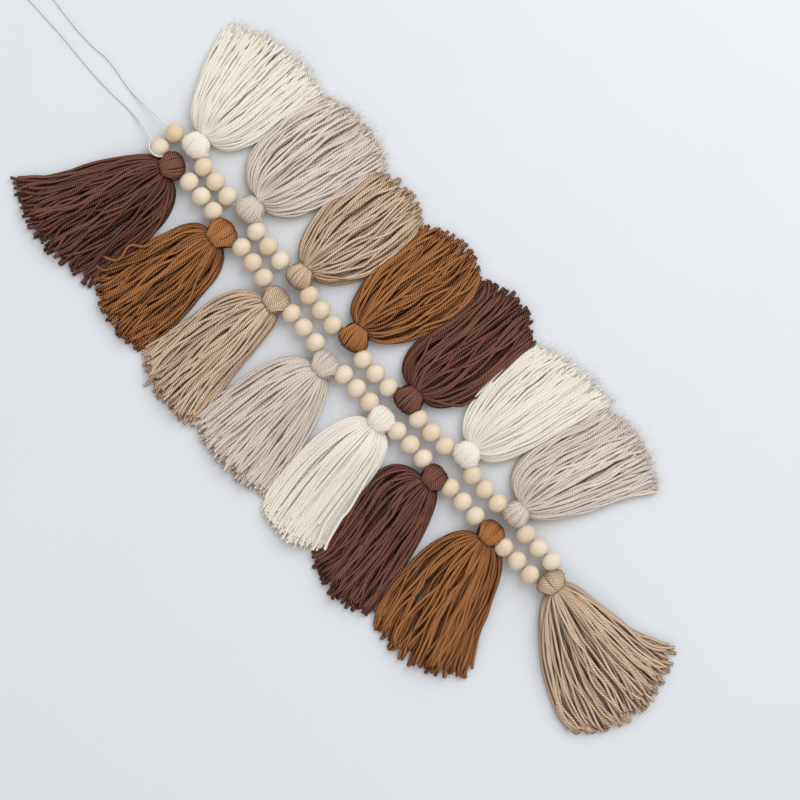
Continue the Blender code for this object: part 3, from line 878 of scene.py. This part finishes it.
def head_loops(tassel, chance):
    """The loops of yarn over the string, and the fat core inside them."""
    yarn = YARNS[tassel.yarn]
    row = tassel.name.split("_")[0]
    middle, neck = (on_table(place)[:2] for place in (tassel.head, tassel.neck))
    axis = unit(neck - middle)
    across = np.array((-axis[1], axis[0]))
    growth = BIG_HEADS.get(tassel.name, 1)
    loop_radius = yarn.width * LOOP_WIDTH
    sizes = np.array((HEAD_WIDTH[row] * growth, HEAD_LENGTH[row] * growth, HEAD_HEIGHT)) / 2 - loop_radius

    def on_ball(x, y, z):
        spot = middle + across * (x * sizes[0])[..., None] + axis * (y * sizes[1])[..., None]
        return np.concatenate([spot, (HEAD_HEIGHT / 2 + z * sizes[2])[..., None]], axis=-1)

    count = round(sizes[0] * 3.3 / (yarn.width * 0.95))
    strands = []
    turn = np.linspace(LOOP_ENDS, math.tau - LOOP_ENDS, LOOP_POINTS)
    open_out = np.clip((1 - np.cos(turn)) / 1.15, 0, 1)
    place = np.linspace(-1, 1, count)
    for slant in place * (1.15 + 0.2 * place**2) + chance.normal(0, 0.02, count):
        x = math.sin(slant) * (LOOP_DRAW + (1 - LOOP_DRAW) * open_out) + chance.normal(0, 0.03) * np.sin(turn)
        reach = girth(np.clip(x, -0.98, 0.98)) * (1 + chance.normal(0, 0.012))
        points = on_ball(x, reach * np.cos(turn), reach * np.sin(turn))
        points[:, 2] = np.maximum(points[:, 2], loop_radius * 1.1)
        strands.append((points, loop_radius * chance.normal(1, 0.05), yarn.head_tone + chance.random() * 0.7))
    y = np.linspace(-0.93, 0.85, CORE_POINTS)
    for x in CORE_SIDES:
        thick = sizes[2] * 0.95 * np.sqrt(np.maximum(1 - x**2 - y**2, 0.02))
        strands.append((on_ball(np.full(CORE_POINTS, x), y, np.zeros(CORE_POINTS)), thick, 0.0))
    return strands


trial = head_loops(TASSELS[0], np.random.default_rng(100))
print(TASSELS[0].name, "has", len(trial), "loops and fills in its head")

# %% Make all tassels
tassel_pieces = []
total = 0
for number, tassel in enumerate(TASSELS):
    chance = np.random.default_rng(100 + number)
    skirt = strand_paths(tassel, chance) + loose_paths(tassel, chance)
    loops = head_loops(tassel, chance)
    finish = yarn_finishes[tassel.yarn]
    body = grow_strands("yarn_tassel_" + tassel.name, skirt + loops, finish, STRAND_SIDES)
    ends = grow_strands(
        "ends_tassel_" + tassel.name, end_fibres(tassel, skirt, chance), fibre_finishes[tassel.yarn], 3)
    print(body.name, len(skirt), "strands,", len(loops), "loops:", triangles(body), "+", triangles(ends))
    for piece in (body, ends):
        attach(piece, "root")
        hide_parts("tassel_" + tassel.name)
        total += triangles(piece)
    tassel_pieces += [body, ends]
print(len(tassel_pieces), "pieces of yarn,", total, "triangles")

# %% [markdown]
# ## Beads
# The beads are turned from a pale wood such as maple, sanded and left bare. One bead is a turned profile:
# a ball, a little short along its bore, with an eased edge at each mouth. A second tree of geometry nodes
# puts it on a point at the middle of each packed bead and turns it along the string. Its own coordinates
# are stored first, so that each bead keeps its grain along the bore, and a random number for each bead
# shifts and tints that grain.

# %% Where the beads are
BEAD_LENGTH = 0.0147
BEAD_BORE = 0.0026
BEAD_SIDES = 24
BEAD_EASE = 0.0004
PROFILE_POINTS = 15
TOP_BEAD = {"right": (175.5, 134.8), "left": (161, 149.3)}


def bead_spots(row):
    """Middle and direction of each bead of a row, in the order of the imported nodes."""
    names = sorted(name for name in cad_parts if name.startswith("bead_" + row))
    middles = [sum(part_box(name), Vector()) / 2 for name in names]
    for middle in middles:
        middle.z = BEAD_DIAMETER / 2
    first_bore = next(tassel.bore for tassel in TASSELS if tassel.name == row + "_1")
    spots = [(names[0], middles[0], Vector(on_table(first_bore) - on_table(TOP_BEAD[row])))]
    for start in range(1, len(names), 3):
        run = middles[start + 2] - middles[start]
        spots += [(names[at], middles[at], run) for at in range(start, start + 3)]
    return spots


beads = bead_spots("right") + bead_spots("left")
print(len(beads), "beads")

# %% The turned bead and the tree that strings it


def make_bead_pattern():
    """One bead about its middle with its bore along Z, by turning its profile."""
    half = BEAD_LENGTH / 2
    radius = BEAD_DIAMETER / 2
    mouth = BEAD_BORE / 2
    rim = math.acos((mouth + BEAD_EASE) / radius)
    profile = [
        (mouth, 0.0), (mouth, half - BEAD_EASE * 2.2), (mouth + BEAD_EASE * 0.3, half - BEAD_EASE * 1.1)]
    for turn in np.linspace(rim, -rim, PROFILE_POINTS):
        z = (half - BEAD_EASE * 0.4) * math.sin(turn) / math.sin(rim)
        profile.append((radius * math.cos(turn), z))
    profile += [(mouth + BEAD_EASE * 0.3, -half + BEAD_EASE * 1.1), (mouth, -half + BEAD_EASE * 2.2)]
    mesh = bpy.data.meshes.new("bead pattern")
    edges = [(at, (at + 1) % len(profile)) for at in range(len(profile))]
    mesh.from_pydata([(x, 0, z) for x, z in profile], edges, [])
    pattern = new_object("bead pattern", mesh)
    turned = pattern.modifiers.new("turned", "SCREW")
    turned.steps = turned.render_steps = BEAD_SIDES
    turned.use_merge_vertices = True
    turned.merge_threshold = 0.00001
    turned.use_normal_calculate = True
    turned.use_smooth_shade = True
    return pattern


def make_bead_tree():
    tree, given = new_tree(
        "beads on a string", {"Middles": "Geometry", "Bead": "Object", "Finish": "Material"}, "Beads")
    pattern = add_node(tree, "GeometryNodeObjectInfo", {"Object": given["Bead"]})
    grain = add_node(
        tree, "GeometryNodeStoreNamedAttribute",
        {"Geometry": pattern.outputs["Geometry"], "Name": "grain",
         "Value": add_node(tree, "GeometryNodeInputPosition").outputs["Position"]}, data_type="FLOAT_VECTOR")
    run = add_node(tree, "GeometryNodeInputNamedAttribute", {"Name": "run"}, data_type="FLOAT_VECTOR")
    turn = add_node(
        tree, "FunctionNodeAlignRotationToVector", {"Vector": run.outputs["Attribute"]}, axis="Z")
    spin = add_node(tree, "FunctionNodeRandomValue", {3: math.tau, "Seed": 4}, data_type="FLOAT")
    about = add_node(
        tree, "FunctionNodeAxisAngleToRotation", {"Axis": (0.0, 0.0, 1.0), "Angle": spin.outputs[1]})
    turned = add_node(
        tree, "FunctionNodeRotateRotation",
        {"Rotation": turn.outputs["Rotation"], "Rotate By": about.outputs["Rotation"]},
        rotation_space="LOCAL")
    strung = add_node(
        tree, "GeometryNodeInstanceOnPoints",
        {"Points": given["Middles"], "Instance": grain.outputs["Geometry"],
         "Rotation": turned.outputs["Rotation"]})
    return end_tree(tree, strung.outputs["Instances"], given["Finish"])


print("a bead is", BEAD_DIAMETER * 1000, "mm across and", BEAD_LENGTH * 1000, "mm along its bore")

# %% [markdown]
# The wood is bare and sanded: matt, with fine grain lines along the bore and soft bands of slightly
# warmer growth. Lines are about 0.7 mm apart and bands about 4 mm, both drawn out eight times as far
# along the bore. The top bead of the right row is darker than the rest.

# %% Wood finish and the strung beads
LINES_PER_METRE = 1400.0
BANDS_PER_METRE = 260.0
GRAIN_STRETCH = 0.12
OWN_GRAIN = 0.7
LINE_SHARE = 0.45
TONE_SHARE = 0.45


def make_wood_finish():
    material, tree, shader = new_finish("sanded pale wood")
    grain = add_node(tree, "ShaderNodeAttribute", attribute_name="grain")
    tone = add_node(tree, "ShaderNodeAttribute", attribute_name="tone")
    shift = add_node(
        tree, "ShaderNodeVectorMath", {0: tone.outputs["Vector"], "Scale": OWN_GRAIN}, operation="SCALE")
    own = add_node(
        tree, "ShaderNodeVectorMath", {0: grain.outputs["Vector"], 1: shift.outputs["Vector"]},
        operation="ADD")
    stretched = add_node(
        tree, "ShaderNodeMapping", {"Vector": own.outputs["Vector"], "Scale": (1, 1, GRAIN_STRETCH)})
    lines, bands = (
        add_node(
            tree, "ShaderNodeTexNoise",
            {"Vector": stretched.outputs["Vector"], "Scale": scale, "Detail": detail})
        for scale, detail in ((LINES_PER_METRE, 3.0), (BANDS_PER_METRE, 2.0)))
    mixed = add_node(
        tree, "ShaderNodeMath", {0: lines.outputs["Fac"], 1: LINE_SHARE, 2: bands.outputs["Fac"]},
        operation="MULTIPLY_ADD")
    toned = add_node(
        tree, "ShaderNodeMath", {0: tone.outputs["Fac"], 1: TONE_SHARE, 2: mixed.outputs[0]},
        operation="MULTIPLY_ADD")
    share = add_node(
        tree, "ShaderNodeMapRange", {"Value": toned.outputs[0], "From Min": 0.45, "From Max": 1.6})
    colour = add_node(
        tree, "ShaderNodeMix", {0: share.outputs["Result"], 6: linear("#DED2BF"), 7: linear("#CDB591")},
        data_type="RGBA")
    bump = add_node(
        tree, "ShaderNodeBump", {"Strength": 0.4, "Distance": 0.00005, "Height": lines.outputs["Fac"]})
    tree.links.new(colour.outputs[2], shader.inputs["Base Color"])
    tree.links.new(bump.outputs["Normal"], shader.inputs["Normal"])
    shader.inputs["Roughness"].default_value = 0.55
    shader.inputs["IOR"].default_value = 1.45
    return material


TOP_BEAD_TONE = 1.5
wood_finish = make_wood_finish()
bead_middles = bpy.data.meshes.new("bead middles")
bead_middles.from_pydata([tuple(middle) for name, middle, run in beads], [], [])
runs = np.array([tuple(run.normalized()) for name, middle, run in beads], np.float32)
bead_middles.attributes.new("run", "FLOAT_VECTOR", "POINT").data.foreach_set("vector", runs.ravel())
tones = np.random.default_rng(7).random(len(beads))
tones[0] = TOP_BEAD_TONE
bead_middles.attributes.new("tone", "FLOAT", "POINT").data.foreach_set("value", tones.astype(np.float32))
bead_pattern = make_bead_pattern()
wooden_beads = plain_mesh_of(
    "wooden_beads", bead_middles, make_bead_tree(), {"Bead": bead_pattern, "Finish": wood_finish})
bpy.data.objects.remove(bead_pattern, do_unlink=True)
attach(wooden_beads, "root")
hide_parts(*[name for name, middle, run in beads])
print(wooden_beads.name, triangles(wooden_beads), "triangles")

# %% [markdown]
# ## The string's way through
# Between its loose ends the string runs through every bore, bends a little in each head, and turns back
# in the last one. At the top left bead it also makes a stop turn: out of the bead, round its side and in
# again, which grips the bead so that nothing slides off. The turn lies on the bead, so its height is
# worked out from the ball under it.

# %% Run and stop turn
RUN_SIDES = 8
TURN_POINTS = 61
ROW_END = ((537.3, 582.4), (543, 585.8), (550, 586), (556, 582.5), (559, 577), (559.6, 570.2))
STOP_TURN = ((153.4, 140.8), (151.2, 145), (151.4, 150), (153.4, 154), (157, 157), (161.5, 158.4), (166, 158))


def run_points():
    rows = {row: [TOP_BEAD[row]] + [t.bore for t in TASSELS if t.name.startswith(row)] for row in TOP_BEAD}
    places = [TAIL_ROUTE["left"][0], *rows["left"], *ROW_END, *rows["right"][::-1], TAIL_ROUTE["right"][0]]
    return on_table(places, STRING_HEIGHT)


def stop_turn_points():
    places = smooth_route(on_table(STOP_TURN), TURN_POINTS)
    away = np.linalg.norm(places[:, :2] - on_table(TOP_BEAD["left"])[:2], axis=1)
    lift = np.sqrt(np.maximum((BEAD_DIAMETER / 2 + STRING_DIAMETER / 2) ** 2 - away**2, 0))
    places[:, 2] = STRING_HEIGHT + lift
    return places


string_run = grow_strands(
    "string_run", [(run_points(), STRING_DIAMETER / 2, STRING_TONE)], string_finish, RUN_SIDES)
stop_turn = grow_strands(
    "string_stop_turn", [(stop_turn_points(), STRING_DIAMETER / 2, STRING_TONE)], string_finish, TAIL_SIDES,
    STRING_GROOVE)
for piece in (*string_pieces, string_run, stop_turn):
    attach(piece, "root")
    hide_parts("string")
print("string run is", round(route_length(run_points()), 3), "m long")
